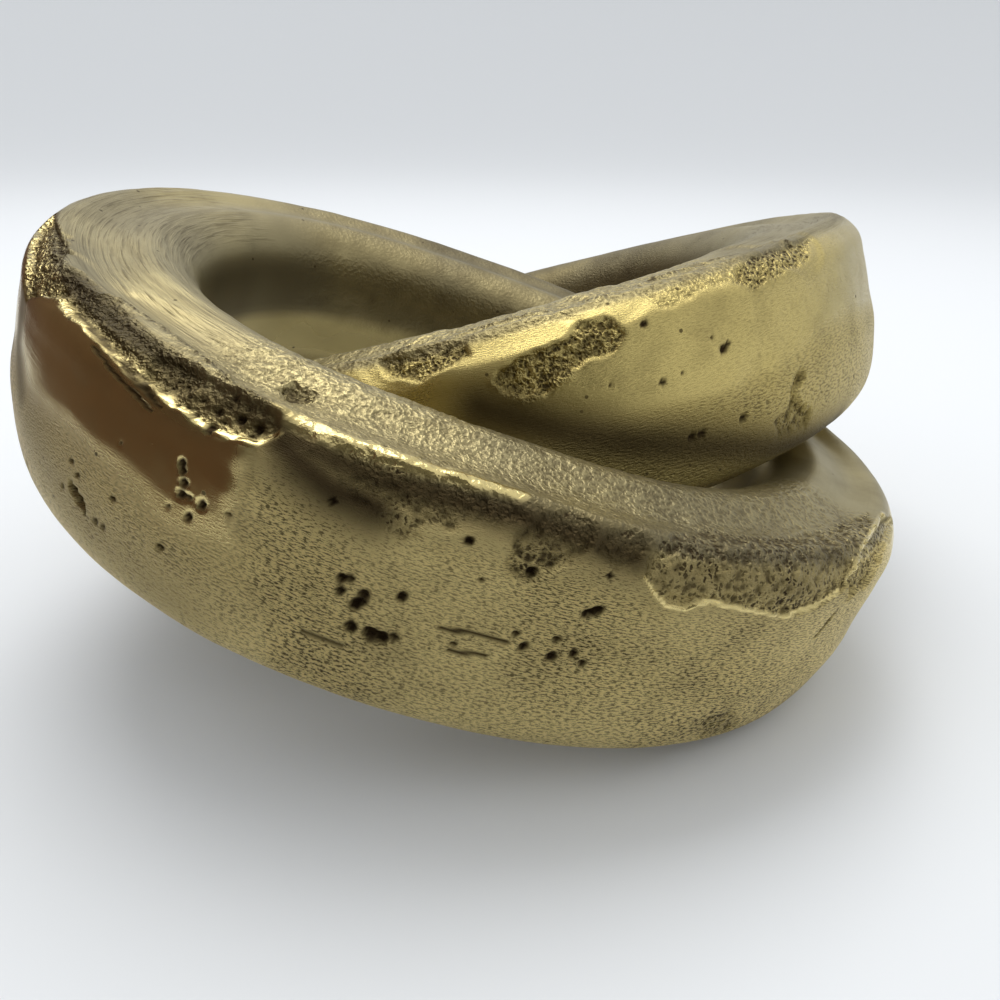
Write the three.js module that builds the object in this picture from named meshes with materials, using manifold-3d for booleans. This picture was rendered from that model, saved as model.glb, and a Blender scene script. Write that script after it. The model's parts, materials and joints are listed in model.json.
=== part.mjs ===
// Interlocking ring sculpture: two thick cast metal rings that pass through each other's eye.
// Sizes are in millimetres and degrees, +Z is up, the table is z = 0 and the front is towards -Y.
// Each ring has one end down on the table and the other up on its partner, and nothing else holds them.
import * as THREE from "three";
import { ParametricGeometry } from "three/addons/geometries/ParametricGeometry.js";
import { mergeVertices } from "three/addons/utils/BufferGeometryUtils.js";
import Module from "manifold-3d";

const wasm = await Module();
wasm.setup();

const TURN = 2 * Math.PI;
const WELD = 1e-3;
const radians = THREE.MathUtils.degToRad;

// The limb is the thick bar that goes round a ring's eye. A radius runs from the middle of the eye to the
// middle of the limb. Angles round a ring start at its low end, and lowSide is that end's compass direction,
// from +X towards +Y. The front ring is a little oval, and its limb is a share stouter on its near side.
const frontRing = {
  longRadius: 67,
  shortRadius: 52,
  longWay: 16,
  limbWidth: 28,
  limbHeight: 39,
  swell: 0.12,
  swellSide: 275,
  lowSide: -21,
  colour: 0xa8935a,
};

// The rear ring is round and even, so it can turn on its own axis through the front ring's eye.
const rearRing = {
  longRadius: 69,
  shortRadius: 69,
  longWay: 0,
  limbWidth: 28,
  limbHeight: 38.5,
  swell: 0,
  swellSide: 0,
  lowSide: 153,
  colour: 0xa08c50,
};

// The limb's outline, in half widths out from its middle and half heights up. The outer wall is upright and
// ends in a shoulder, the top is almost flat, and the underside is drawn in, as a pattern that leaves its mould.
const limbOutline = [
  [1.0, 0.15],
  [1.0, 0.5],
  [0.96, 0.77],
  [0.67, 0.98],
  [0.21, 0.94],
  [-0.35, 1.0],
  [-0.88, 0.75],
  [-1.0, 0.15],
  [-0.78, -0.4],
  [-0.43, -0.8],
  [0.25, -1.0],
  [0.79, -0.8],
  [1.0, -0.25],
];

// The rear ring's middle stands this far to the right of the front ring's middle.
const rearToRight = 9;

// The rings lean on each other, and this is the gap that they keep where they touch.
const contactGap = 0.3;

// Each ring is ground flat this deep where it stands on the table.
const standDepth = 1.0;

// Facets round a ring and round its limb.
const stepsRound = 96;
const stepsLimb = 28;

const limbCurve = new THREE.CatmullRomCurve3(
  limbOutline.map(([out, up]) => new THREE.Vector3(out, up, 0)),
  true,
  "catmullrom",
);

// The middle of the limb is an oval: its radius swings between long and short twice a turn.
function middleRadius(ring, angle) {
  const mean = (ring.longRadius + ring.shortRadius) / 2;
  const swing = (ring.longRadius - ring.shortRadius) / 2;
  return mean + swing * Math.cos(2 * (angle - radians(ring.longWay)));
}

// A point of the limb's surface, out and up from the limb's middle. The share goes once along its outline.
function limbPoint(ring, angle, share) {
  const outline = limbCurve.getPoint(share);
  const size = 1 + ring.swell * Math.cos(angle - radians(ring.swellSide));
  return {
    out: (ring.limbWidth / 2) * size * outline.x,
    up: (ring.limbHeight / 2) * size * outline.y,
  };
}

// The ring in its own frame: the eye's axis is Z, and the low end lies along X.
function ringGeometry(ring) {
  const surface = (u, v, target) => {
    const angle = u * TURN;
    const { out, up } = limbPoint(ring, angle, v % 1);
    const radius = middleRadius(ring, angle) + out;
    target.set(radius * Math.cos(angle), radius * Math.sin(angle), up);
  };
  const sheet = new ParametricGeometry(surface, stepsRound, stepsLimb);
  sheet.deleteAttribute("normal");
  sheet.deleteAttribute("uv");
  return mergeVertices(sheet, WELD);
}

function pointsOf(geometry) {
  const position = geometry.attributes.position;
  return Array.from({ length: position.count }, (_, i) => new THREE.Vector3().fromBufferAttribute(position, i));
}

// A ring that stands on the table: it leans down to its low side by its tilt, and its lowest point is sunk
// by the depth that its stand is ground to.
function standing(ring, points, tilt, toRight, toBack) {
  const place = new THREE.Matrix4().makeRotationFromEuler(
    new THREE.Euler(0, radians(tilt), radians(ring.lowSide), "ZYX"),
  );
  const lowest = Math.min(...points.map((p) => p.clone().applyMatrix4(place).z));
  return place.setPosition(toRight, toBack, -lowest - standDepth);
}

// The distance from a point to a closed outline, less than nothing inside it.
function distanceToOutline(x, y, outline) {
  let nearest = Infinity;
  let inside = false;
  outline.forEach((a, i) => {
    const b = outline[(i + 1) % outline.length];
    const [dx, dy] = [b.out - a.out, b.up - a.up];
    const along = ((x - a.out) * dx + (y - a.up) * dy) / (dx * dx + dy * dy);
    const t = THREE.MathUtils.clamp(along, 0, 1);
    nearest = Math.min(nearest, Math.hypot(x - a.out - t * dx, y - a.up - t * dy));
    const spans = a.up > y !== b.up > y;
    if (spans && x < a.out + ((y - a.up) / dy) * dx) inside = !inside;
  });
  return inside ? -nearest : nearest;
}

const frontGeometry = ringGeometry(frontRing);
const rearGeometry = ringGeometry(rearRing);
const frontPoints = pointsOf(frontGeometry);
const rearPoints = pointsOf(rearGeometry);
const frontOutlines = Array.from({ length: stepsRound }, (_, i) =>
  Array.from({ length: stepsLimb }, (_, j) => limbPoint(frontRing, (i / stepsRound) * TURN, j / stepsLimb)),
);

// The least gap between the rings in one stretch of the pair: where the front ring passes over the rear
// ring's low end, in the middle, or where the rear ring passes over the front ring's low end.
function leastGap(frontPlace, rearPlace, inStretch) {
  const toFront = frontPlace.clone().invert();
  const reach = frontRing.limbHeight;
  let least = reach;
  for (const point of rearPoints) {
    const world = point.clone().applyMatrix4(rearPlace);
    if (!inStretch(world.x)) continue;
    const { x, y, z } = world.applyMatrix4(toFront);
    const angle = (Math.atan2(y, x) + TURN) % TURN;
    const out = Math.hypot(x, y) - middleRadius(frontRing, angle);
    if (Math.hypot(out, z) > reach) continue;
    const outline = frontOutlines[Math.round((angle / TURN) * stepsRound) % stepsRound];
    least = Math.min(least, distanceToOutline(out, z, outline));
  }
  return least;
}

const crossingFrom = frontRing.shortRadius / 2;
const overLowRear = (x) => x < -crossingFrom;
const betweenCrossings = (x) => Math.abs(x) <= crossingFrom;
const overLowFront = (x) => x > crossingFrom;

// The value between low and high where a gap that grows with it first comes up to the contact gap.
const halvings = 16;
function settle(low, high, gapFor) {
  for (let halving = 0; halving < halvings; halving++) {
    const middle = (low + high) / 2;
    if (gapFor(middle) < contactGap) low = middle;
    else high = middle;
  }
  return high;
}

// The rings come to rest as they do on a table. The rear ring slides forward until its limb meets the front
// ring's near limb, and each ring's raised end comes down on its partner. Each moves the other a little, so
// they take turns until they lie still.
const flattest = 5;
const steepest = 45;
const turnsToSettle = 6;
const seat = { frontTilt: flattest, rearTilt: steepest, rearToBack: rearRing.longRadius };

function placesFor({ frontTilt, rearTilt, rearToBack }) {
  return [
    standing(frontRing, frontPoints, frontTilt, 0, 0),
    standing(rearRing, rearPoints, rearTilt, rearToRight, rearToBack),
  ];
}

function gapWith(change, inStretch) {
  const [frontPlace, rearPlace] = placesFor({ ...seat, ...change });
  return leastGap(frontPlace, rearPlace, inStretch);
}

for (let turn = 0; turn < turnsToSettle; turn++) {
  seat.rearToBack = settle(0, rearRing.longRadius, (rearToBack) => gapWith({ rearToBack }, betweenCrossings));
  seat.frontTilt = settle(flattest, steepest, (frontTilt) => gapWith({ frontTilt }, overLowRear));
  seat.rearTilt = settle(flattest, steepest, (rearTilt) => gapWith({ rearTilt }, overLowFront));
}
const [frontPlace, rearPlace] = placesFor(seat);
console.log("at rest", seat);
for (const stretch of [overLowRear, betweenCrossings, overLowFront]) {
  console.log("gap", leastGap(frontPlace, rearPlace, stretch).toFixed(2), "mm");
}

function solidOf(geometry) {
  const closed = mergeVertices(geometry, WELD);
  return new wasm.Manifold(
    new wasm.Mesh({
      numProp: 3,
      vertProperties: new Float32Array(closed.attributes.position.array),
      triVerts: new Uint32Array(closed.index.array),
    }),
  );
}

function geometryOf(solid) {
  const mesh = solid.getMesh();
  const geometry = new THREE.BufferGeometry();
  geometry.setAttribute("position", new THREE.BufferAttribute(mesh.vertProperties, 3));
  geometry.setIndex(new THREE.BufferAttribute(mesh.triVerts, 1));
  geometry.computeVertexNormals();
  return geometry;
}

// Everything of the ring below the table's top is ground away.
function groundFlat(ring, geometry, place) {
  const acrossTable = 4 * ring.longRadius;
  const table = new THREE.BoxGeometry(acrossTable, acrossTable, ring.limbHeight);
  table.deleteAttribute("normal");
  table.deleteAttribute("uv");
  table.translate(place.elements[12], place.elements[13], -ring.limbHeight / 2);
  table.applyMatrix4(place.clone().invert());
  return geometryOf(solidOf(geometry).subtract(solidOf(table)));
}

function ringMesh(name, ring, geometry, place) {
  const material = new THREE.MeshStandardMaterial({ color: ring.colour, metalness: 1, roughness: 0.38 });
  const mesh = new THREE.Mesh(groundFlat(ring, geometry, place), material);
  mesh.name = name;
  mesh.applyMatrix4(place);
  return mesh;
}

const pair = new THREE.Group();
pair.add(ringMesh("front_ring", frontRing, frontGeometry, frontPlace));
pair.add(ringMesh("rear_ring", rearRing, rearGeometry, rearPlace));

// The origin is on the table, under the middle of the pair.
const middle = new THREE.Box3().setFromObject(pair, true).getCenter(new THREE.Vector3());
pair.position.set(-middle.x, -middle.y, 0);
export default pair;
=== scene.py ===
# %% [markdown]
# # Two linked rings of cast brass
# The sculpture is two closed brass rings that pass through each other's eye and lean on each other. Here
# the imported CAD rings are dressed: each gets a skin with the cast metal's holes, rough patches and ground
# edges.

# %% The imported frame
import json
import math

import bpy
import numpy as np
from mathutils import Matrix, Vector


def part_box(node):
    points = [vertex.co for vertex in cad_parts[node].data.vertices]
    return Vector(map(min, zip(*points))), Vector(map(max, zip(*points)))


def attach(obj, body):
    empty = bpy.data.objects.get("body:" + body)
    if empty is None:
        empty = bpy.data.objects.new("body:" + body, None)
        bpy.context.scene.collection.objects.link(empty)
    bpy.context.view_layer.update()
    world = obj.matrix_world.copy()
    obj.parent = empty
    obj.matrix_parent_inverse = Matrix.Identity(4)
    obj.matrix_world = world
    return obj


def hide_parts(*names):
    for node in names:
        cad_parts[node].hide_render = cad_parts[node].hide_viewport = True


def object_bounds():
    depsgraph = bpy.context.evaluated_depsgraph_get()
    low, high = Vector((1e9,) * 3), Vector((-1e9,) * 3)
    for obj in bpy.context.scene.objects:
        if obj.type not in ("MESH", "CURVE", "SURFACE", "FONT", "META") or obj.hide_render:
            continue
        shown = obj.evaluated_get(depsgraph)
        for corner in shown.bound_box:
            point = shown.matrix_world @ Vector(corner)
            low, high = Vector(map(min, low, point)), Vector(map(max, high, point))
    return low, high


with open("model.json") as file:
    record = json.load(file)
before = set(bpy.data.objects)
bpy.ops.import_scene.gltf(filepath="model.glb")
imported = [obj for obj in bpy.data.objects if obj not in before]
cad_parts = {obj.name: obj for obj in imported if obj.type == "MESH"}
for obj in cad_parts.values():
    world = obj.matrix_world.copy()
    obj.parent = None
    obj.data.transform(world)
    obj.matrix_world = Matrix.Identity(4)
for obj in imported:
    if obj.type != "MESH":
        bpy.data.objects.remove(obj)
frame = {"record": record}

MM = 0.001
cad_low, cad_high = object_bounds()
print("CAD box, mm:", [round(side / MM, 1) for side in cad_high - cad_low])

# %% [markdown]
# ## The camera
# The photograph looks as if it was taken by a phone, held close in front of the rings and a hand's width
# above the table, which makes the near limb look big. Placing the camera there gives that look; a long lens
# further off would not. Three directions say how it is held: where it looks, what is to its right and what
# is up for it.

# %% Camera
PHOTO = 1000
SENSOR = 36
focal = 961
eye = np.array([-4.1, -209.1, 99.8])
heading = math.radians(1.7)
downward = math.radians(22.7)
slant = math.radians(0.7)


def put_in_scene(name, data):
    """Adds an object that shows this mesh, lamp or camera."""
    thing = bpy.data.objects.new(name, data)
    bpy.context.collection.objects.link(thing)
    return thing


flat_forward = np.array([math.sin(heading), math.cos(heading), 0.0])
forward = flat_forward * math.cos(downward) - np.array([0.0, 0.0, math.sin(downward)])
level = np.array([math.cos(heading), -math.sin(heading), 0.0])
steep = np.cross(level, forward)
rightward = level * math.cos(slant) + steep * math.sin(slant)
upward = np.cross(rightward, forward)

camera = put_in_scene("photo_camera", bpy.data.cameras.new("photo_camera"))
camera.data.sensor_width = SENSOR
camera.data.lens = SENSOR * focal / PHOTO
camera.data.clip_start = 0.01
turned = Matrix((rightward, upward, -forward)).transposed().to_4x4()
camera.matrix_world = Matrix.Translation(eye * MM) @ turned
bpy.context.scene.camera = camera
bpy.context.scene.view_settings.view_transform = "Standard"
print("lens, mm:", round(camera.data.lens, 1))

# %% [markdown]
# ## From a point to the photograph
# The marks on the metal were read off the photograph, so the script needs to know where in that picture a
# point of the model shows. This is a pinhole camera: sideways and upward distance, divided by how far
# away.

# %% Photograph
def in_photo(points):
    """Pixel across, pixel down and distance: focal length times the sideways part over the forward part."""
    seen = points - eye
    far = seen @ forward
    return PHOTO / 2 + focal * (seen @ rightward) / far, PHOTO / 2 - focal * (seen @ upward) / far, far


middle_x, middle_y, middle_far = in_photo(np.zeros(3))
print("the table's middle shows at", round(middle_x), round(middle_y), "px,", round(middle_far), "mm away")

# %% [markdown]
# ## Noise
# Cast metal is uneven at every size. Two kinds of noise make that, and both look up random numbers in a
# lattice. The first is smooth, for swells and stains.

# %% Smooth noise
LATTICE = 64
NOISE_STEP = 7.31
chance = np.random.default_rng(11)
lattice = chance.random((LATTICE, LATTICE, LATTICE))
print("random lattice corners:", lattice.size)


def eased(t):
    """0 below 0, 1 above 1, and 3t² - 2t³ between them."""
    t = np.clip(t, 0.0, 1.0)
    return t * t * (3.0 - 2.0 * t)


def looked_up(x, y, z):
    """The random number at a lattice corner; past its end the lattice starts again."""
    return lattice[x % LATTICE, y % LATTICE, z % LATTICE]


def noise(points, size, seed=0):
    """-1 to 1: random corners of cubes `size` wide, mixed across each cube by an S curve."""
    spot = points / size + seed * NOISE_STEP
    cell = np.floor(spot).astype(int)
    part = eased(spot - cell)
    total = 0.0
    for corner in np.ndindex(2, 2, 2):
        share = np.prod(np.where(corner, part, 1.0 - part), axis=-1)
        total = total + share * looked_up(*np.moveaxis(cell + corner, -1, 0))
    return 2.0 * total - 1.0


# %% [markdown]
# The second is a cell noise, for pits. It says how far each point is from the nearest of many scattered
# seeds.

# %% Cell noise
SEED_STEP = 3.17
FAR_OFF = 1e9


def seed_distance(points, spacing, seed=0):
    """The distance to the nearest of seeds scattered one to a cube, as a share of the spacing."""
    spot = points / spacing + seed * SEED_STEP
    shift_y, shift_z = 9, 21
    cell = np.floor(spot).astype(int)
    nearest = np.full(points.shape[:-1], FAR_OFF)
    for step in np.ndindex(3, 3, 3):
        cube = cell + step - 1
        x, y, z = np.moveaxis(cube, -1, 0)
        scatter = [looked_up(x, y, z), looked_up(y, z, x + shift_y), looked_up(z, x, y + shift_z)]
        nearest = np.minimum(nearest, np.linalg.norm(spot - cube - np.stack(scatter, axis=-1), axis=-1))
    return nearest


some_places = np.stack(np.meshgrid(*[np.arange(0, 8, 0.5)] * 3), axis=-1)
print("mean distance to a seed:", seed_distance(some_places, 1).mean().round(2), "spacings")

# %% [markdown]
# ## The rings' shape
# A ring is a limb carried round an oval. These are the sizes of the CAD rings, in millimetres: the
# outline of the limb is a smooth closed curve through thirteen points, given in half widths out and half
# heights up.

# %% Ring shape
limb_outline = np.array([
    (1.0, 0.15), (1.0, 0.5), (0.96, 0.77), (0.67, 0.98), (0.21, 0.94), (-0.35, 1.0), (-0.88, 0.75),
    (-1.0, 0.15), (-0.78, -0.4), (-0.43, -0.8), (0.25, -1.0), (0.79, -0.8), (1.0, -0.25),
])

front_shape = dict(long=67, short=52, long_way=16, width=28, height=39, swell=0.12, swell_side=275)
rear_shape = dict(long=69, short=69, long_way=0, width=28, height=38.5, swell=0, swell_side=0)


def outline_at(share):
    """A Catmull-Rom curve through the outline's points, `share` of the way round."""
    count = len(limb_outline)
    place = np.mod(share, 1.0) * count
    before = np.floor(place).astype(int)
    w = (place - before)[..., None]
    a, b, c, d = (limb_outline[(before + step) % count] for step in (-1, 0, 1, 2))
    return 0.5 * (2 * b + (c - a) * w + (2 * a - 5 * b + 4 * c - d) * w**2 + (3 * b - a - 3 * c + d) * w**3)


def ring_points(shape, angle, share):
    """The limb's outline, at the oval's radius, turned by the angle. The eye's axis is Z, the low end X."""
    outline = outline_at(share)
    size = 1 + shape["swell"] * np.cos(angle - math.radians(shape["swell_side"]))
    swing = (shape["long"] - shape["short"]) / 2
    mean = (shape["long"] + shape["short"]) / 2
    radius = mean + swing * np.cos(2 * (angle - math.radians(shape["long_way"])))
    radius = radius + shape["width"] / 2 * size * outline[..., 0]
    up = shape["height"] / 2 * size * outline[..., 1]
    return np.stack([radius * np.cos(angle), radius * np.sin(angle), up], axis=-1)


print("limb of the front ring, mm:", front_shape["width"], "wide,", front_shape["height"], "high")

# %% [markdown]
# ## Where the grid lines go
# A mark 2 mm wide needs several points across it. The near side of each ring gets its lines closer
# together, and the far side makes do with fewer, so each ring stays under 200,000 triangles. The limb's way
# round and the ring's radius turn shares and angles into millimetres.

# %% Grid lines
COLUMNS = 690
ROWS = 142
LIMB_ROUND = 112
RING_RADIUS = 65
print("triangles of a ring:", 2 * COLUMNS * ROWS)


def grid_lines(count, busy, reach, extra):
    """`count` shares of a turn. Their spacing is one over 1 + extra, eased in within `reach` of `busy`."""
    fine = np.linspace(0.0, 1.0, 4001)
    away = np.abs((fine - busy + 0.5) % 1.0 - 0.5)
    weight = 1 + extra * eased((reach - away) / (0.3 * reach))
    reached = np.concatenate([[0.0], np.cumsum(weight[1:] + weight[:-1])])
    return np.interp(np.arange(count) / count, reached / reached[-1], fine)


# %% [markdown]
# ## A ring's skin
# A skin is one ring as a grid of points, with six numbers at each point. One says how deep the metal is
# cut away. The others say how much there is of dark patina and painted shade, rough crust, sandy stipple,
# file lines and dull film. Every mark changes those numbers, and the mesh comes last.

# %% Skin
LAYERS = ("dark", "rough", "stipple", "lines", "film")
SMALL_STEP = 1e-4
NEAR_PIXELS = 5
LIMB_DEPTH = 12


class Skin:
    """A ring's grid in the model's place, in mm: the CAD ring's box says where it goes."""

    def __init__(self, node, shape, axis, busy_side):
        self.node = node
        self.turn = 2 * math.pi * grid_lines(COLUMNS, busy=busy_side / 360, reach=0.24, extra=1.6)
        self.share = grid_lines(ROWS, busy=0.17, reach=0.32, extra=0.8)
        self.angle, self.around = np.meshgrid(self.turn, self.share, indexing="ij")
        self.cut = np.zeros(self.angle.shape)
        for layer in LAYERS:
            setattr(self, layer, np.zeros(self.angle.shape))
        self.lean(axis)
        low, high = (np.array(corner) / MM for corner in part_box(node))
        self.lie(shape, low, high)
        self.be_seen()
        print(node, "centre, mm:", self.centre.round(2))

    def lean(self, axis):
        """The ring's own directions: down to its low end, across, and along its eye's axis."""
        axis = np.array(axis) / np.linalg.norm(axis)
        low_end = axis * axis[2] - np.array([0.0, 0.0, 1.0])
        low_end = low_end / np.linalg.norm(low_end)
        self.frame = np.array([low_end, np.cross(axis, low_end), axis])

    def lie(self, shape, low, high):
        """Points with their box where the CAD ring's is, and normals across two small steps on the grid."""
        flat = ring_points(shape, self.angle, self.around)
        leaning = flat @ self.frame
        middle = (leaning.max((0, 1)) + leaning.min((0, 1))) / 2
        top = leaning[..., 2].max()
        self.centre = np.array([*((low + high) / 2 - middle)[:2], high[2] - top])
        self.points = leaning + self.centre
        along = ring_points(shape, self.angle + SMALL_STEP, self.around) - flat
        across = ring_points(shape, self.angle, self.around + SMALL_STEP) - flat
        normal = np.cross(along, across) @ self.frame
        self.normal = normal / np.linalg.norm(normal, axis=-1, keepdims=True)

    def be_seen(self):
        """Where each point shows in the photograph, and how far it turns away: -1 faces the camera."""
        self.pixel_x, self.pixel_y, self.far = in_photo(self.points)
        seen = self.points - eye
        self.turned_away = (seen * self.normal).sum(-1) / np.linalg.norm(seen, axis=-1)
        self.facing = self.turned_away < 0

    def under(self, pixel):
        """The grid point under a pixel: of those close by that face the camera, one on the nearest limb."""
        across = np.hypot(self.pixel_x - pixel[0], self.pixel_y - pixel[1])
        shown = self.facing & (across < NEAR_PIXELS)
        if not shown.any():
            return np.unravel_index(np.argmin(np.where(self.facing, across, FAR_OFF)), across.shape)
        nearest_limb = shown & (self.far < self.far[shown].min() + LIMB_DEPTH)
        return np.unravel_index(np.argmin(np.where(nearest_limb, across, FAR_OFF)), across.shape)

    def distance(self, route):
        """How far each grid point is from a line through the points of a route, in mm."""
        least = np.full(self.angle.shape, FAR_OFF)
        for start, end in zip(route[:-1], route[1:]):
            way = end - start
            part = np.clip(((self.points - start) @ way) / max(way @ way, 1e-9), 0.0, 1.0)
            gap = np.linalg.norm(self.points - start - part[..., None] * way, axis=-1)
            least = np.minimum(least, gap)
        return least

    def route(self, pixels):
        """The points of the skin that show under a row of pixels."""
        return np.array([self.points[self.under(pixel)] for pixel in pixels])

    def length(self, pixels):
        """The length of a route in mm: the sum of its steps."""
        return np.linalg.norm(np.diff(self.route(pixels), axis=0), axis=1).sum()


# %% [markdown]
# The CAD rings' boxes say where each skin goes, and the lean of each ring's axis says how it is turned.
# The rear ring's axis is the joint's own, so its skin turns truly on itself.

# %% The two skins
front_lean = math.radians(18.92)
front_low_side = math.radians(-21)
front_axis = (
    math.sin(front_lean) * math.cos(front_low_side),
    math.sin(front_lean) * math.sin(front_low_side),
    math.cos(front_lean),
)
rear_axis = frame["record"]["behaviour"]["joints"][0]["axis"]
front = Skin("front_ring", front_shape, front_axis, busy_side=278)
rear = Skin("rear_ring", rear_shape, rear_axis, busy_side=152)
rear_lean = math.acos(rear_axis[2])
print("leans, degrees:", [round(math.degrees(lean), 1) for lean in (front_lean, rear_lean)])

# %% [markdown]
# ## Marks in the metal
# Gas in the molten brass leaves round blow holes, sand that breaks off the mould leaves rough patches,
# and brass that froze before it met the rest leaves a lap with a thin edge. Each mark is a depth, worked
# out from the distance to where it lies; pushing the skin in by it makes a real dent that catches the
# light.

# %% Blow holes
def hole(skin, pixel, radius, depth=None, towards=None):
    """A pit with a dark flat bottom and a steep rim: depth times an S curve of distance over radius."""
    towards = towards or pixel
    gap = skin.distance(skin.route([pixel, towards])) / radius
    gap = gap * (1 + 0.3 * noise(skin.points, 0.9, 2))
    skin.cut += (depth or radius) * eased(1.25 - gap)
    skin.dark = np.maximum(skin.dark, eased((1.45 - gap) / 0.7))


# %% [markdown]
# A patch's outline is a row of corners, joined in a ring. Whether a grid point lies inside is found on
# the unrolled limb, where the way round the ring is one direction and the way round the limb the other.

# %% Inside an outline
def inside(skin, corners):
    """Whether each grid point is inside a closed outline, by counting how often a line to it crosses it."""
    spots = [skin.under(pixel) for pixel in corners]
    first = spots[0]
    turn = np.array([skin.angle[spot] for spot in spots])
    share = np.array([skin.around[spot] for spot in spots])
    turn = (turn - skin.angle[first] + math.pi) % (2 * math.pi)
    share = (share - skin.around[first] + 0.5) % 1.0
    x = (skin.angle - skin.angle[first] + math.pi) % (2 * math.pi)
    y = (skin.around - skin.around[first] + 0.5) % 1.0
    within = np.zeros(x.shape, bool)
    for i in range(len(turn)):
        j = i - 1
        if share[i] == share[j]:
            continue
        spans = (share[i] > y) != (share[j] > y)
        crossing = turn[i] + (y - share[i]) * (turn[j] - turn[i]) / (share[j] - share[i])
        within ^= spans & (x < crossing)
    return within


# %% [markdown]
# Where sand broke off the mould, the metal is sunk a little and looks like crust: a floor with pits about
# 1.6 mm apart, in which the patina stays.

# %% Rough patches
PIT_SPACING = 1.6


def patch(skin, corners, depth, edge=0.8, dark=0.6, grain=1.0, lip=None, reach=5.0, seed=1):
    """A sunken patch of crusty metal, deepest at its lip: depth times 0.25 + 0.75 exp(-(gap / reach)²)."""
    rim = skin.distance(skin.route([*corners, corners[0]]))
    depth_in = np.where(inside(skin, corners), rim, -rim) + 0.8 * noise(skin.points, 2.2, seed)
    within = eased(depth_in / edge + 0.5)
    floor = 1.0 if lip is None else 0.25 + 0.75 * np.exp(-((skin.distance(skin.route(lip)) / reach) ** 2))
    pits = eased(1.3 - 1.8 * seed_distance(skin.points, PIT_SPACING, seed))
    skin.cut += within * (depth * floor + grain * (0.3 * pits + 0.1 * noise(skin.points, 2.0, seed + 1)))
    clouds = 0.5 + 0.5 * noise(skin.points, 5, seed + 3)
    skin.dark = np.maximum(skin.dark, within * dark * np.maximum(0.3 * eased(1.5 * clouds), pits))
    skin.rough = np.maximum(skin.rough, within * grain)
    print("patch at", corners[0], "covers", round(100 * within.mean(), 1), "% of the grid")


# %% [markdown]
# The other marks follow a route, so all of them start from the distance to it. What differs is the curve
# that turns this distance into a depth, or into how dark and dull the metal is.

# %% Grooves and ridges
def groove(skin, pixels, width, depth, dark=0.7, rough=0.0, seed=1):
    """A furrow along a route: depth times one minus the square of distance over half its width."""
    gap = skin.distance(skin.route(pixels)) / (width / 2)
    gap = gap * (1 + 0.2 * noise(skin.points, 1.7, seed))
    skin.cut += depth * np.clip(1 - gap**2, 0, 1)
    skin.dark = np.maximum(skin.dark, dark * eased(1.6 - 1.2 * gap))
    skin.rough = np.maximum(skin.rough, rough * eased(1.6 - 1.2 * gap))


def swell(skin, pixels, width, height, crumbs=0.0, seed=1):
    """A soft ridge along a route, a hollow where height is below 0: height times exp(-distance²)."""
    gap = skin.distance(skin.route(pixels)) / (width / 2)
    bell = np.exp(-(gap**2))
    skin.cut -= bell * (height + crumbs * noise(skin.points, 1.1, seed))
    skin.rough = np.maximum(skin.rough, bell * eased(3 * crumbs))


# %% [markdown]
# A crest is made crisp by lowering the metal beside it. Patina stays where no cloth reaches, and the same
# darkening also paints shade in a few places; a line that is rubbed bright loses both.

# %% Edges, patina, painted shade and polish
def sharpen(skin, pixels, width, depth, proud=0.0):
    """A crisp edge, `proud` on its route; beside it the metal falls off as 1 - exp(-distance)."""
    gap = skin.distance(skin.route(pixels)) / width
    near = eased(4 - gap)
    skin.cut += depth * near * (1 - np.exp(-gap)) - proud * np.exp(-gap)


def patina_and_painted_shade(skin, pixels, width, amount):
    """Darkens along a route as a bell curve of the distance, for patina where no cloth reaches and for
    painted shade.
    """
    gap = skin.distance(skin.route(pixels)) / (width / 2)
    skin.dark = np.maximum(skin.dark, amount * np.exp(-(gap**2)))


def polish(skin, pixels, width):
    """Rubs a line bright: along it the patina and painted shade, the film and the grain go, whatever came
    before.
    """
    kept = 1 - eased(1.5 - skin.distance(skin.route(pixels)) / (width / 2))
    for values in (skin.dark, skin.rough, skin.stipple, skin.film):
        values *= kept


# %% [markdown]
# ## The hand-worked body
# Before any mark, the metal is a little uneven: swells a few centimetres long from the wax or sand
# pattern, and smaller ones from rubbing with a file. They go inwards on average, and the mesh is held in
# the CAD rings' box at the end, so a lip that stands proud can't make the sculpture bigger.

# %% Uneven body
for seed, skin in enumerate((front, rear)):
    skin.cut += 0.2 + 0.17 * noise(skin.points, 26, seed + 3) + 0.08 * noise(skin.points, 8, seed + 5)
    skin.cut += 0.03 * noise(skin.points, 3, seed + 7)
    print(skin.node, "swells, mm:", np.ptp(skin.cut).round(2))


# %% [markdown]
# ## Kinds of surface
# The outer wall is stippled by the mould's sand, the raised left end is filed, and the near top
# keeps the pebbly skin that it was cast with: small domes with dark valleys between them, drawn out along
# the limb.

# %% Kinds of surface
STROKE_SLANT = math.radians(8)
STROKE_STRETCH = 14


def window(values, low, high, soft):
    """1 between low and high, eased to 0 over `soft` outside them."""
    return eased((values - low) / soft + 1) * eased((high - values) / soft + 1)


def pebbles(skin, where, size, height, stretch):
    """Domes about `size` mm apart, `stretch` times as long along the limb, sunk where cells meet."""
    along, across = skin.angle * RING_RADIUS / stretch, skin.around * LIMB_ROUND
    unrolled = np.stack([along, across, 0 * along], axis=-1)
    gap = seed_distance(unrolled + 0.3 * size * noise(skin.points, 2 * size, 6)[..., None], size, 8)
    valley = eased((gap - 0.25) / 0.6)
    skin.cut += where * height * valley
    skin.dark = np.maximum(skin.dark, 0.5 * where * eased((gap - 0.6) / 0.3))
    skin.rough = np.maximum(skin.rough, 0.5 * where)


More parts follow.
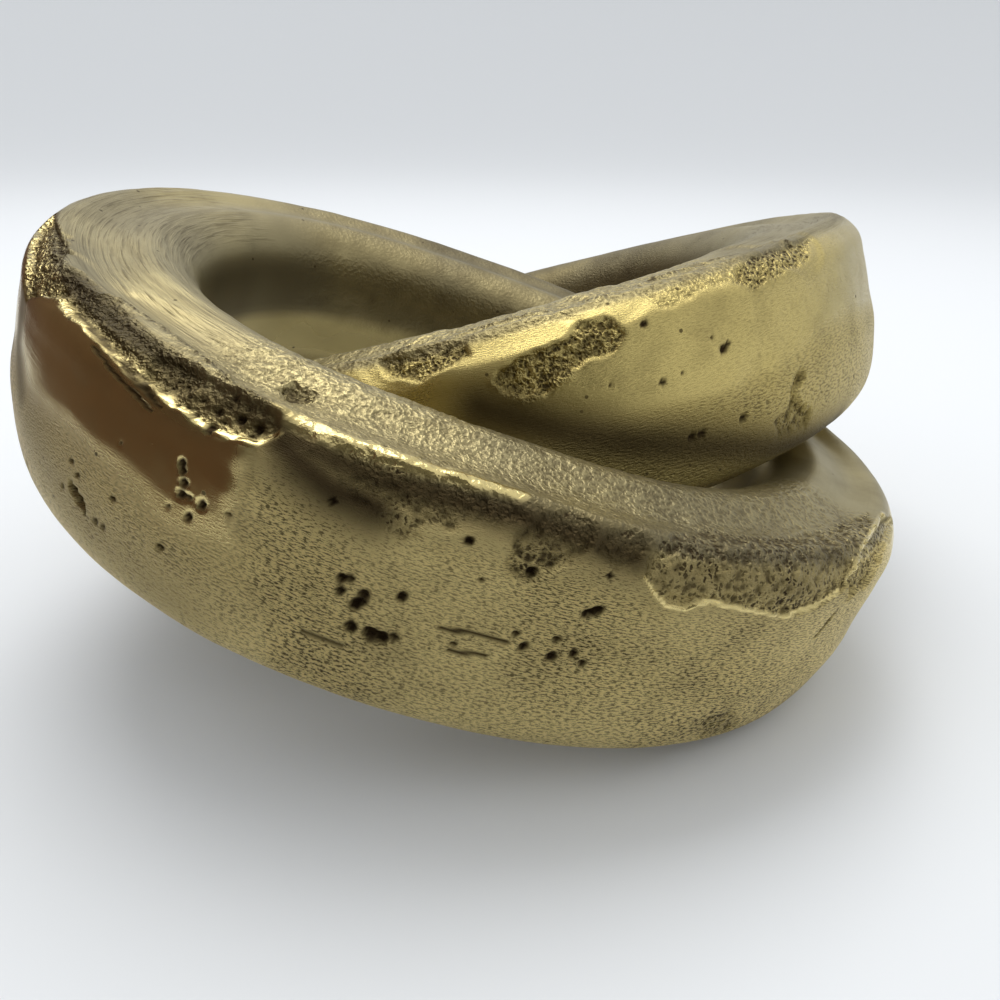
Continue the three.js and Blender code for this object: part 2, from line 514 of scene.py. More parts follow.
def file_strokes(skin, where, width, height):
    """Shallow strokes, a little aslant to the limb: noise drawn out to fourteen times its width."""
    along, across = skin.angle * RING_RADIUS, skin.around * LIMB_ROUND
    cosine, sine = math.cos(STROKE_SLANT), math.sin(STROKE_SLANT)
    drawn_out = (along * cosine + across * sine) / STROKE_STRETCH
    strokes = np.stack([drawn_out, across * cosine - along * sine, 0 * along], axis=-1)
    depth = noise(strokes, width, 17)
    skin.cut += where * height * depth
    skin.dark = np.maximum(skin.dark, 0.3 * where * eased(2 * depth - 0.2))


# %% [markdown]
# A kind of surface has its place round the limb, given here as shares of the outline: where it starts,
# where it ends and how softly. Its place round the ring is in degrees from the low end.

# %% Zones
WALL = (-0.3, 0.18, 0.03)
LOW_WALL = (-0.3, -0.06, 0.1)
TOP = (0.215, 0.54, 0.03)
FILED_TOP = (0.215, 0.43, 0.03)
FAR_TOP = (0.2, 0.56, 0.04)
INSIDE_EYE = (0.5, 0.78, 0.06)
UNDERSIDE = (0.7, 0.92, 0.05)


def surface_zones(skin, stippled, filed, pebbled, worm, far_side_shade, faint):
    """Where the skin is stippled, filed or left as cast, by angle round the ring in degrees, and where
    shade is painted.
    """
    angle = np.degrees(skin.angle) + 5 * noise(skin.points, 16, 23)
    share = (skin.around + 0.5) % 1.0 - 0.5 + 0.03 * noise(skin.points, 13, 24)
    wall = window(share, *WALL)
    top = window(skin.around, *TOP)
    low_wall = window(share, *LOW_WALL)
    file_marks = window(skin.around, *FILED_TOP) * window(angle, *filed, 10)
    patchy = eased(0.5 + 1.2 * noise(skin.points, 18, 21))
    sanded = wall * (1 - 0.3 * patchy) * window(angle, *stippled, 10)
    skin.stipple = np.maximum(faint * (0.5 + 0.5 * patchy), np.maximum(sanded, 0.65 * low_wall))
    skin.lines += 0.05 * (1 - patchy) + 0.5 * file_marks
    as_cast = 1 - 0.25 * window(angle, *pebbled, 10)
    skin.film += top * (0.75 + 0.25 * patchy) * as_cast
    file_strokes(skin, file_marks, width=0.85, height=0.13)
    pebbles(skin, top * window(angle, *pebbled, 8), size=2.1, height=0.2, stretch=1.3)
    pebbles(skin, top * window(angle, *worm, 8), size=1.2, height=0.13, stretch=2.0)
    # Painted shade: the limb's top on the side away from the camera is darkened, which dims its reflection;
    # it is also made a little rougher.
    far_top = window(skin.around, *FAR_TOP) * window(angle, *far_side_shade, 25)
    cloudy = 0.1 * noise(skin.points, 7, 27) + 0.12 * noise(skin.points, 2.5, 28)
    skin.dark = np.maximum(skin.dark, far_top * (0.42 + cloudy))
    skin.rough = np.maximum(skin.rough, 0.2 * far_top)
    # Patina and painted shade: the inside of the eye is darkened.
    inside_eye = window(skin.around, *INSIDE_EYE)
    skin.dark = np.maximum(skin.dark, inside_eye * (0.32 + 0.2 * noise(skin.points, 9, 25)))
    print(skin.node, "stippled:", skin.stipple.mean().round(2), "filmed:", skin.film.mean().round(2))


front_zones = dict(
    stippled=(271, 352), filed=(176, 246), pebbled=(250, 286), worm=(286, 352), far_side_shade=(70, 150),
)
rear_zones = dict(
    stippled=(20, 80), filed=(160, 200), pebbled=(90, 150), worm=(20, 85), far_side_shade=(250, 340),
)
surface_zones(front, **front_zones, faint=0.05)
surface_zones(rear, **rear_zones, faint=0.3)

# %% [markdown]
# ## The front ring's marks
# Pixel places are read off the photograph, and sizes are in millimetres. The crest is the line where the
# outer wall meets the top. It is crisp from the raised end to the middle, where it runs out in cast crust.

# %% Front ring's crest
crest = [(60, 262), (75, 276), (100, 290), (120, 300), (160, 325), (200, 353), (240, 385), (280, 408)]
crest_on = [(280, 408), (320, 432), (400, 460), (480, 480), (520, 490), (600, 515), (650, 530)]
under_crest = [(285, 434), (330, 457), (400, 484), (480, 505), (560, 527), (640, 556)]
dark_reflection_below_tongue = [(282, 440), (298, 462), (330, 488), (372, 508)]
sharpen(front, crest, width=1.6, depth=0.3, proud=0.3)
sharpen(front, crest_on, width=3.4, depth=0.4, proud=0.35)
swell(front, under_crest, width=9, height=-0.5)
# Painted reflection: the dark band under the crest and below the tongue stands for the dark things that
# this smooth slope mirrors, not for patina.
patina_and_painted_shade(front, under_crest, width=9, amount=0.95)
patina_and_painted_shade(front, dark_reflection_below_tongue, width=10, amount=0.97)
swell(front, crest, width=1.8, height=0.1, crumbs=0.3, seed=3)
polish(front, crest_on[:5], width=2.8)
swell(front, crest_on[:5], width=4.5, height=0.0, crumbs=0.1, seed=22)
print("crest length, mm:", front.length(crest + crest_on).round(1))

# %% [markdown]
# Below the crest's raised end runs a trough where two streams of brass met without joining: a dark crusty
# wall, then a bright ledge that looks up. It ends in a tongue of metal full of blow holes.

# %% Trough and porous tongue
trough_foot = [(68, 279), (90, 299), (112, 318), (134, 336), (158, 356), (176, 372)]
ledge = [(66, 297), (88, 320), (108, 341), (128, 360), (146, 375)]
chip_corners = [(50, 208), (70, 244), (60, 290), (26, 300), (26, 262), (38, 226)]
porous_corners = [
    (150, 350), (178, 350), (225, 380), (262, 402), (284, 414), (276, 430), (250, 443), (214, 432),
    (190, 418), (160, 398), (142, 376),
]
porous_middle = [(160, 372), (200, 396), (236, 408), (266, 418)]
porous_lip = [(160, 398), (190, 418), (214, 432), (250, 443), (276, 430)]
porous_holes = [
    (181, 378, 0.45), (170, 373, 0.35), (167, 382, 0.35), (192, 383, 0.35), (205, 378, 0.35),
    (234, 393, 0.5), (213, 407, 0.65), (236, 418, 0.75), (255, 425, 0.85), (206, 431, 0.7),
    (184, 407, 0.4), (192, 415, 0.4), (173, 405, 0.35), (221, 420, 0.45), (247, 405, 0.4),
    (226, 404, 0.4), (199, 396, 0.4), (186, 394, 0.35), (160, 388, 0.35), (245, 434, 0.45),
]
file_scratches = [
    [(85, 325), (130, 372)], [(100, 345), (152, 396)], [(112, 372), (150, 412)], [(96, 330), (146, 384)],
    [(92, 345), (138, 398)], [(120, 366), (160, 408)], [(104, 362), (140, 402)], [(70, 306), (104, 344)],
]
groove(front, trough_foot, width=6.8, depth=1.2, dark=0.75, rough=1.0, seed=3)
groove(front, ledge, width=2.6, depth=0.7, dark=0.0, rough=0.4, seed=4)
swell(front, ledge, width=1.6, height=0.0, crumbs=0.2, seed=6)
for scratch in file_scratches:
    groove(front, scratch, width=0.7, depth=0.25, dark=0.9)
patch(front, chip_corners, depth=1.0, edge=0.6, dark=0.9, seed=2)
patch(front, porous_corners, depth=0.9, edge=0.7, dark=0.6, grain=0.5, lip=porous_lip, reach=9, seed=3)
swell(front, [(150, 397), *porous_lip], width=1.2, height=0.3, crumbs=0.1, seed=5)
patina_and_painted_shade(front, porous_middle, width=8, amount=0.85)
polish(front, porous_lip, width=0.9)
for x, y, radius in porous_holes:
    hole(front, (x, y), radius)
print("holes in the tongue:", len(porous_holes))

# %% [markdown]
# Right of the middle, crusty patches hang under the crest. The longest ends in a thin lip of metal that
# ran over the mould's skin, and its crust fades out upwards into the top.

# %% Crusty patches
ridge_corners = [
    (335, 450), (362, 452), (400, 464), (454, 480), (506, 496), (520, 512), (496, 524), (470, 526),
    (430, 530), (398, 540), (384, 532), (372, 518), (350, 500),
]
middle_corners = [
    (508, 566), (518, 536), (549, 508), (576, 506), (598, 524), (592, 549), (572, 562), (549, 576),
    (531, 581), (517, 577),
]
small_corners = [(598, 552), (608, 531), (631, 524), (653, 538), (645, 556), (617, 568)]
long_lip = [
    (650, 580), (656, 596), (668, 608), (684, 610), (700, 604), (713, 605), (749, 612), (785, 617),
    (817, 608), (842, 590),
]
long_corners = [
    *long_lip, (852, 572), (868, 536), (868, 512), (849, 518), (804, 532), (758, 536), (713, 528),
    (672, 530), (650, 560),
]
long_floor = [(672, 575), (740, 572), (800, 582), (845, 560)]
thin_lip = [(540, 574), (566, 566), (590, 564), (614, 568), (636, 580), (650, 590)]
thin_corners = [*thin_lip, (660, 560), (640, 530), (600, 502), (560, 496), (522, 500), (524, 560)]
patch(front, ridge_corners, depth=0.35, edge=2.2, dark=0.85, seed=4)
patch(front, middle_corners, depth=0.35, edge=1.0, dark=0.95, seed=5)
patch(front, small_corners, depth=0.3, edge=1.0, dark=0.7, seed=6)
patch(front, thin_corners, depth=0.15, edge=1.4, dark=0.2, grain=0.5, lip=thin_lip, reach=4, seed=21)
patch(front, long_corners, depth=0.65, edge=0.5, dark=0.85, lip=long_lip, reach=5, seed=7)
patina_and_painted_shade(front, long_floor, width=10, amount=0.6)
swell(front, long_lip, width=1.0, height=0.2)
polish(front, long_lip, width=0.5)
print("long lip, mm:", front.length(long_lip).round(1))

# %% [markdown]
# The right end has a rough facet with a raised bright edge. A shallow patch lies low on the wall, and a
# nick breaks the top beside the crest.

# %% Facet and nick
facet_corners = [
    (849, 599), (851, 581), (863, 549), (876, 526), (884, 517), (895, 522), (888, 545), (876, 572),
    (863, 590),
]
facet_edge = [(849, 599), (850, 580), (863, 549), (876, 526), (884, 514)]
low_corners = [(697, 735), (706, 718), (728, 711), (739, 716), (728, 732), (712, 740)]
nick_corners = [(280, 384), (292, 381), (312, 392), (308, 398), (290, 397)]
nick_edge = [(278, 378), (295, 375), (315, 388)]
patch(front, facet_corners, depth=0.9, edge=0.7, dark=0.3, seed=8)
swell(front, facet_edge, width=1.3, height=0.35)
polish(front, facet_edge, width=1.0)
patch(front, low_corners, depth=0.15, edge=0.8, dark=0.6, seed=9)
patch(front, nick_corners, depth=0.8, edge=0.6, dark=0.95, seed=10)
swell(front, nick_edge, width=1.4, height=0.25)
print("facet's edge, mm:", front.length(facet_edge).round(1))

# %% [markdown]
# The wall also has single blow holes, some in strings, and a few scratches from the file's corner.

# %% Front ring's holes and scratches
front_holes = [
    (180, 463, 0.6), (183, 472, 0.6), (184, 482, 0.7), (180, 492, 0.7), (187, 499, 0.5), (202, 505, 0.7),
    (187, 517, 0.6), (228, 514, 0.4), (168, 507, 0.4), (158, 546, 0.6), (342, 580, 0.8), (350, 579, 0.6),
    (339, 592, 0.7), (364, 597, 0.8), (354, 605, 0.9), (360, 604, 0.7), (350, 630, 1.0), (370, 634, 1.2),
    (380, 639, 1.1), (394, 641, 0.7), (403, 597, 0.8), (471, 542, 0.7), (516, 633, 0.6), (522, 649, 0.7),
    (557, 641, 0.6), (553, 656, 0.8), (573, 654, 0.7), (581, 663, 0.6), (454, 646, 0.5), (481, 580, 0.4),
    (332, 502, 0.6), (533, 576, 0.7), (613, 577, 0.5), (72, 461, 0.5), (62, 485, 0.4), (110, 500, 0.5),
    (75, 475, 0.5), (118, 444, 0.3), (27, 466, 0.4), (94, 520, 0.5), (102, 528, 0.4), (84, 512, 0.4),
]
PROUDEST_LIP = 0.4
for x, y, radius in front_holes:
    hole(front, (x, y), radius)
# Painted dark reflection: the lower left wall and the left edge are darkened where the metal mirrors dark
# things nearby.
patina_and_painted_shade(front, [(30, 430), (60, 490), (110, 550), (170, 600)], width=18, amount=0.4)
patina_and_painted_shade(front, [(22, 295), (17, 340), (20, 395)], width=7, amount=0.6)
hole(front, (70, 485), 0.75, depth=2.2, towards=(82, 504))
hole(front, (587, 614), 0.6, depth=1.0, towards=(599, 612))
hole(front, (816, 637), 0.4, depth=0.8, towards=(834, 616))
groove(front, [(442, 628), (475, 635), (508, 643)], width=0.9, depth=0.35, dark=0.98)
groove(front, [(448, 650), (486, 659)], width=0.8, depth=0.3, dark=0.98)
groove(front, [(302, 632), (342, 648)], width=0.7, depth=0.2, dark=0.9)
front.cut = np.maximum(front.cut, -PROUDEST_LIP)
print("front ring cut, mm:", front.cut.min().round(2), "to", front.cut.max().round(2))

# %% [markdown]
# ## The rear ring's marks
# The rear ring was rubbed smoother. Crust is left along its crest and in one crater below it, and a nick
# like a bottle's outline shows where a bubble burst at the mould's wall.

# %% Rear ring marks
crater_corners = [
    (500, 370), (525, 357), (560, 338), (580, 322), (606, 312), (625, 335), (615, 350), (595, 360),
    (570, 372), (550, 387), (530, 398), (510, 394), (497, 382),
]
crater_lip = [(497, 382), (512, 394), (530, 398), (550, 387), (570, 372)]
wedge_corners = [(380, 358), (430, 344), (462, 338), (466, 352), (435, 368), (420, 380), (384, 372)]
bright_corners = [(645, 288), (690, 270), (735, 258), (742, 272), (700, 292), (668, 304), (650, 302)]
shoulder_corners = [(732, 282), (742, 260), (780, 244), (812, 236), (808, 260), (780, 274), (752, 290)]
nick_outline = [
    (798, 372), (805, 376), (798, 392), (800, 404), (811, 415), (806, 428), (782, 433), (776, 424),
    (789, 412), (792, 392),
]
rear_foot_shade = [(480, 408), (560, 430), (640, 443), (720, 450), (790, 446), (835, 428)]
rear_crest = [
    (400, 350), (470, 328), (540, 310), (600, 295), (650, 278), (700, 262), (740, 252), (790, 240),
]
rear_holes = [
    (745, 420, 0.8), (693, 437, 0.8), (703, 435, 0.7), (725, 349, 0.8), (729, 343, 0.5),
    (645, 324, 0.6), (662, 382, 0.6), (712, 337, 0.4), (612, 386, 0.4), (684, 372, 0.35),
]
sharpen(rear, rear_crest, width=2.0, depth=0.35)
swell(rear, [(472, 348), (520, 337), (560, 325)], width=7, height=-0.8)
swell(rear, rear_crest, width=2.2, height=0.2, crumbs=0.3, seed=11)
patch(rear, crater_corners, depth=1.1, edge=1.0, dark=0.75, lip=crater_lip, reach=9, seed=12)
swell(rear, crater_lip, width=1.8, height=0.45, crumbs=0.3, seed=12)
patch(rear, wedge_corners, depth=0.7, edge=1.2, dark=0.8, seed=13)
patch(rear, bright_corners, depth=0.15, edge=1.6, dark=0.0, grain=0.5, seed=14)
patch(rear, shoulder_corners, depth=0.3, edge=1.6, dark=0.35, seed=15)
patch(rear, nick_outline, depth=0.6, edge=0.7, dark=0.9, seed=16)
# Painted shade: the foot of the rear ring's near wall, which mirrors the shaded front ring, is darkened.
patina_and_painted_shade(rear, rear_foot_shade, width=11, amount=0.9)
for x, y, radius in rear_holes:
    hole(rear, (x, y), radius)
swell(rear, [(760, 380), (764, 378)], width=6, height=-0.5)
rear.cut = np.maximum(rear.cut, 0.0)
print("rear ring cut, mm:", rear.cut.min().round(2), "to", rear.cut.max().round(2))

# %% [markdown]
# ## The sides that the photograph doesn't show
# The back and the underside were cast in the same sand, so they get the same kinds of marks, scattered by
# chance where the surface faces away from the camera. The random draws start from a set number, so each
# run is alike. The underside is also painted a little darker, as shade.

# %% Unseen sides
def unseen_sides(skin, holes, seed):
    """Random blow holes, rough patches where a slow noise is high, and painted shade underneath, fading in
    as the skin turns away.
    """
    draw = np.random.default_rng(seed)
    away = eased(skin.turned_away / 0.3 + 0.3)
    hidden = np.argwhere(away > 0.9)
    for column, row in hidden[draw.integers(0, len(hidden), holes)]:
        radius = draw.uniform(0.35, 0.9)
        gap = np.linalg.norm(skin.points - skin.points[column, row], axis=-1) / radius
        skin.cut += radius * eased(1.25 - gap)
        skin.dark = np.maximum(skin.dark, eased(1.5 - gap))
    coarse = noise(skin.points, 17, seed) + 0.35 * noise(skin.points, 4, seed + 1)
    within = away * eased((coarse - 0.38) / 0.12)
    pit = eased(1.25 - 1.7 * seed_distance(skin.points, 1.3, seed))
    skin.cut += within * (0.3 + 0.4 * pit)
    skin.dark = np.maximum(skin.dark, within * np.maximum(0.2, 0.8 * pit))
    skin.rough = np.maximum(skin.rough, within)
    # Painted shade: the underside is darkened a little.
    under = window(skin.around, *UNDERSIDE) * away
    skin.dark = np.maximum(skin.dark, 0.3 * under)
    print(skin.node, "rough share of the unseen sides:", round(float(within.mean() / away.mean()), 2))


unseen_sides(front, holes=60, seed=31)
unseen_sides(rear, holes=60, seed=37)

# %% [markdown]
# ## From skin to mesh
# The skin is pushed inwards by what was cut, ground flat where it meets the table, and closed both ways
# round: the last column of faces joins the first, and so does the last row. Dimples and file strokes run
# along the limb, so the material needs a map that unrolls it. The map is cut once each way: across the limb
# at 100 degrees from the low end, and along it on the inside of the eye.

# %% Limb map
SEAM_ANGLE = 1.75
SEAM_SHARE = 0.62


def limb_map(skin, mesh):
    """A UV map in mm: the way round the ring and the way round the limb, each cut once, at its seam."""
    column = np.arange(COLUMNS)[:, None]
    row = np.arange(ROWS)[None, :]
    ways = []
    for east, north in ((0, 0), (1, 0), (1, 1), (0, 1)):
        turn = np.append(skin.turn, 2 * math.pi)[column + east]
        share = np.append(skin.share, 1.0)[row + north]
        after_seam = np.where(skin.turn[column] >= SEAM_ANGLE, 0.0, 2 * math.pi)
        after_share = np.where(skin.share[row] >= SEAM_SHARE, 0.0, 1.0)
        along = (turn + after_seam) * RING_RADIUS
        across = (share + after_share) * LIMB_ROUND
        ways.append(np.stack(np.broadcast_arrays(along, across), axis=-1))
    corners = np.stack(ways, axis=2).reshape(-1, 2)
    print(skin.node, "map, mm:", np.ptp(corners, axis=0).round())
    mesh.uv_layers.new(name="limb").data.foreach_set("uv", corners.ravel())


# %% [markdown]
# The whole grid goes into the mesh at once, as four-sided faces. The five layers of finish, patina and
# painted shade go with it as point attributes, so one material can draw all of them.

# %% Mesh
def quads(first, second):
    """Faces from each column of a grid to the next; the other way they go round and meet."""
    corners = [first, second, np.roll(second, -1, axis=1), np.roll(first, -1, axis=1)]
    return np.stack(corners, axis=-1).reshape(-1, 4).tolist()


def smooth_mesh(name, points, faces):
    """A mesh of smooth faces through points in metres."""
    mesh = bpy.data.meshes.new(name)
    mesh.from_pydata(points.reshape(-1, 3).tolist(), [], faces)
    mesh.polygons.foreach_set("use_smooth", np.ones(len(mesh.polygons), bool))
    return mesh


def skin_mesh(skin, name):
    """The grid as a closed mesh: each point moves in by its cut and stays inside the CAD rings' box."""
    points = np.clip(skin.points - skin.normal * skin.cut[..., None], cad_low / MM, cad_high / MM)
    index = np.arange(COLUMNS * ROWS).reshape(COLUMNS, ROWS)
    mesh = smooth_mesh(name, points * MM, quads(index, np.roll(index, -1, axis=0)))
    for layer in LAYERS:
        values = getattr(skin, layer).ravel().astype(np.float32)
        mesh.attributes.new(layer, "FLOAT", "POINT").data.foreach_set("value", values)
    limb_map(skin, mesh)
    mesh.update()
    print(name, "triangles:", 2 * len(mesh.polygons))
    return put_in_scene(name, mesh)


front_skin = skin_mesh(front, "front_ring_skin")
rear_skin = skin_mesh(rear, "rear_ring_skin")

# %% [markdown]
# ## Building a material
# A colour is written as the hex code of how it looks on a screen, and one function turns it into the linear
# numbers that light adds up in. Another adds one node with its settings and links.

# %% Material helpers
MIX_A, MIX_B, MIX_RESULT = 6, 7, 2


def linear(code):
    """An sRGB hex colour as linear numbers: each part over 12.92, or to the power 2.4 when brighter."""
    parts = [int(code[i : i + 2], 16) / 255 for i in (0, 2, 4)]
    return (*[p / 12.92 if p <= 0.04045 else ((p + 0.055) / 1.055) ** 2.4 for p in parts], 1.0)


def add(tree, kind, settings=None, links=None):
    """Adds a node, sets its own settings and its sockets, and links sockets from other nodes."""
    node = tree.nodes.new(kind)
    for key, value in (settings or {}).items():
        if isinstance(key, str) and hasattr(node, key):
            setattr(node, key, value)
        else:
            node.inputs[key].default_value = value
    for key, source in (links or {}).items():
        tree.links.new(source, node.inputs[key])
    return node


print("half way from black to white on a screen is", round(linear("808080")[0], 2), "of the light")

# %% [markdown]
# ## Cast brass
# Brass is copper and zinc. Its mirror colour is a pale warm yellow, and a brown patina of oxide stays in
# the hollows where a rubbing cloth or wheel doesn't reach. One metal shader does both: where the patina
# lies, the colour turns brown and the gloss is lost. The same brown also paints shade and dark reflections
# in a few places. The sand's dimples are short dark dashes along the limb, under 1 mm, and the crust in the
# patches is a cell pattern of 0.8 mm, warped so that it looks broken. Both are drawn in real millimetres,
# and lift the surface a little through a bump, because a mesh as fine as that would be far too big.

# %% Cast patterns
DASH = 0.33
CRUST = 0.8
per_mm = 1 / MM


def cast_patterns(tree, place, limb):
    """Dimples, crust, file strokes and stains as numbers from 0 to 1, and the distance to each pinhole."""
    drawn_out = add(tree, "ShaderNodeMapping", {"Scale": (0.42 / DASH, 1.15 / DASH, 1)}, {"Vector": limb})
    dimples = add(tree, "ShaderNodeTexNoise", {"Scale": 1.0, "Detail": 3.0, "Roughness": 0.65},
                  {"Vector": drawn_out.outputs["Vector"]})
    ragged = add(tree, "ShaderNodeTexNoise", {"Scale": per_mm / 0.9, "Detail": 2.0}, {"Vector": place})
    warp = 1.3 * MM
    warped = add(tree, "ShaderNodeVectorMath", {"operation": "MULTIPLY_ADD", 1: (warp, warp, warp)},
                 {0: ragged.outputs["Color"], 2: place})
    crust = add(tree, "ShaderNodeTexVoronoi", {"Scale": per_mm / CRUST},
                {"Vector": warped.outputs["Vector"]})
    aslant = {"Rotation": (0, 0, -STROKE_SLANT), "Scale": (0.1, 1.9, 1)}
    slanted = add(tree, "ShaderNodeMapping", aslant, {"Vector": limb})
    filed = add(tree, "ShaderNodeTexNoise", {"Scale": 1.0, "Detail": 3.0, "Roughness": 0.6},
                {"Vector": slanted.outputs["Vector"]})
    stains = add(tree, "ShaderNodeTexNoise", {"Scale": per_mm / 9, "Detail": 5.0, "Roughness": 0.6},
                 {"Vector": place})
    pinholes = add(tree, "ShaderNodeTexVoronoi", {"Scale": per_mm / 5.5}, {"Vector": place})
    return (
        dimples.outputs["Fac"], crust.outputs["Distance"], filed.outputs["Fac"],
        stains.outputs["Fac"], pinholes.outputs["Distance"],
    )


# %% [markdown]
# Each pattern only counts where its attribute says so. The darkest one wins, as patina fills any hollow,
# whatever made it. The dark attribute also carries painted shade. A little tarnish and a few pinholes lie
# everywhere.

# %% Patina
def patina_and_shade_share(tree, patterns, layers):
    """How much patina and painted shade cover a spot: the greatest of dashes, grains, scores, pinholes and
    dark.
    """
    dimples, crust, filed, stains, pinholes = patterns
    dark, rough, stipple, lines = layers
    dashes = add(tree, "ShaderNodeMapRange", {"From Min": 0.53, "From Max": 0.41},
                 {"Value": dimples, "To Max": stipple})
    grains = add(tree, "ShaderNodeMapRange", {"From Min": 0.57, "From Max": 0.3},
                 {"Value": crust, "To Max": rough})
    pits = add(tree, "ShaderNodeMapRange", {"From Min": 0.075, "From Max": 0.05, "To Max": 0.8},
               {"Value": pinholes})
    tarnish = add(tree, "ShaderNodeMapRange", {"From Min": 0.45, "From Max": 0.8, "To Max": 0.3},
                  {"Value": stains})
    scores = add(tree, "ShaderNodeMapRange", {"From Min": 0.52, "From Max": 0.64},
                 {"Value": filed, "To Max": lines})
    greatest = dashes.outputs["Result"]
    for marks in (grains, scores):
        greatest = add(tree, "ShaderNodeMath", {"operation": "MAXIMUM"},
                       {0: greatest, 1: marks.outputs["Result"]}).outputs["Value"]
    specks = add(tree, "ShaderNodeMath", {"operation": "MULTIPLY_ADD", 1: 0.82},
                 {0: greatest, 2: tarnish.outputs["Result"]})
    specks = add(tree, "ShaderNodeMath", {"operation": "MAXIMUM"},
                 {0: specks.outputs["Value"], 1: pits.outputs["Result"]})
    covered = add(tree, "ShaderNodeMath", {"operation": "MAXIMUM", "use_clamp": True},
                  {0: specks.outputs["Value"], 1: dark})
    print("patina is drawn by", len(tree.nodes), "nodes")
    return covered.outputs["Value"]


# %% [markdown]
# The shader itself is short: the colour goes from bright metal through a dull film to patina and painted
# shade, the gloss goes down with it, and three bumps in a row lift the strokes, the dimples and the crust.

# %% Cast brass
FILM = "8C8262"
# The patina's brown is also the colour of the painted shade and dark reflections.
PATINA_AND_PAINTED_SHADE = "3A2E1E"


def cast_brass(name, bright):
    """Sand-cast brass, rubbed bright: satin metal with dark dimples, a brown patina in the hollows and
    painted shade.
    """
    material = bpy.data.materials.new(name)
    material.use_nodes = True
    tree = material.node_tree
    tree.nodes.clear()
    place = add(tree, "ShaderNodeTexCoord").outputs["Object"]
    limb = add(tree, "ShaderNodeUVMap", {"uv_map": "limb"}).outputs["UV"]
    dark, rough, stipple, lines, film = (
        add(tree, "ShaderNodeAttribute", {"attribute_name": layer}).outputs["Fac"] for layer in LAYERS
    )
    patterns = cast_patterns(tree, place, limb)
    dimples, crust, filed = patterns[:3]
    covered = patina_and_shade_share(tree, patterns, (dark, rough, stipple, lines))
    metal = add(tree, "ShaderNodeMix", {"data_type": "RGBA", MIX_A: linear(bright), MIX_B: linear(FILM)},
                {"Factor": film})
    colour = add(tree, "ShaderNodeMix", {"data_type": "RGBA", MIX_B: linear(PATINA_AND_PAINTED_SHADE)},
                 {"Factor": covered, MIX_A: metal.outputs[MIX_RESULT]})
    dull = add(tree, "ShaderNodeMath", {"operation": "MAXIMUM"}, {0: film, 1: stipple}).outputs["Value"]
    satin = add(tree, "ShaderNodeMapRange", {"To Min": 0.14, "To Max": 0.46}, {"Value": dull})
    gloss = add(tree, "ShaderNodeMapRange", {"To Max": 0.6},
                {"Value": covered, "To Min": satin.outputs["Result"]})
    scratched = add(tree, "ShaderNodeBump", {"Distance": 0.5 * MM}, {"Strength": lines, "Height": filed})
    dimpled = add(tree, "ShaderNodeBump", {"Distance": 1.1 * MM},
                  {"Strength": stipple, "Height": dimples, "Normal": scratched.outputs["Normal"]})
    crusted = add(tree, "ShaderNodeBump", {"Distance": 0.5 * MM},
                  {"Strength": rough, "Height": crust, "Normal": dimpled.outputs["Normal"]})
    shader = add(tree, "ShaderNodeBsdfPrincipled", {"Metallic": 1.0},
                 {"Base Color": colour.outputs[MIX_RESULT], "Roughness": gloss.outputs["Result"],
                  "Normal": crusted.outputs["Normal"]})
    add(tree, "ShaderNodeOutputMaterial", {}, {"Surface": shader.outputs["BSDF"]})
    print(name, "nodes:", len(tree.nodes))
    return material


front_brass = cast_brass("sand_cast_brass_front", "DECB8C")
rear_brass = cast_brass("sand_cast_brass_rear", "C7B472")

# %% [markdown]
# ## Each skin on its ring
# A skin takes its CAD ring's place, moves with the same body and gets its own brass material.

# %% Skins on their bodies
for piece, node, body, slot, brass in (
    (front_skin, "front_ring", "front", "cast_brass_front", front_brass),
    (rear_skin, "rear_ring", "rear", "cast_brass_rear", rear_brass),
):
    piece.data.materials.append(brass)
    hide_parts(node)
    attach(piece, body)
    print(piece.name, "rides on", body)

# %% [markdown]
# ## Floor and light
# The rings lie on a plain pale surface that rises far away into a wall, as a roll of studio paper does.
# It is a turned shape: flat to 1.2 m, then a quarter of an ellipse.

# %% Studio paper
def matt(name, colour):
    """A plain dull material of one colour, for what stands round the sculpture."""
    material = bpy.data.materials.new(name)
    material.use_nodes = True
    shader = material.node_tree.nodes["Principled BSDF"]
    shader.inputs["Base Color"].default_value = linear(colour)
    shader.inputs["Roughness"].default_value = 0.9
    return material


flat_reach, paper_reach, paper_height = 1.2, 4.0, 1.0
rise = np.linspace(0, math.pi / 2, 24)
out = np.concatenate([[0.02, 0.3, 0.7], flat_reach + (paper_reach - flat_reach) * np.sin(rise)])
up = np.concatenate([[0, 0, 0], paper_height * (1 - np.cos(rise))])
round_paper = np.linspace(0, 2 * math.pi, 96, endpoint=False)
out_grid, round_grid = np.meshgrid(out, round_paper, indexing="ij")
up_grid = np.broadcast_to(up[:, None], out_grid.shape)
paper_points = np.stack([out_grid * np.cos(round_grid), out_grid * np.sin(round_grid), up_grid], axis=-1)
index = np.arange(out.size * round_paper.size).reshape(out.size, round_paper.size)
paper_faces = [*quads(index[:-1], index[1:]), index[0].tolist()]
floor = put_in_scene("studio_paper", smooth_mesh("studio_paper", paper_points, paper_faces))
floor.data.materials.append(matt("matt_paper", "E2E4E6"))
print("paper across, m:", 2 * out[-1])

# %% [markdown]
# ## Dark cards
# Polished metal has no brightness of its own: it shows the room. With white on all sides it looks like
# plastic, so a grey card stands in front and a brown one to the left, as a photographer does it. Only the
# metal sees them, which keeps the paper clean.

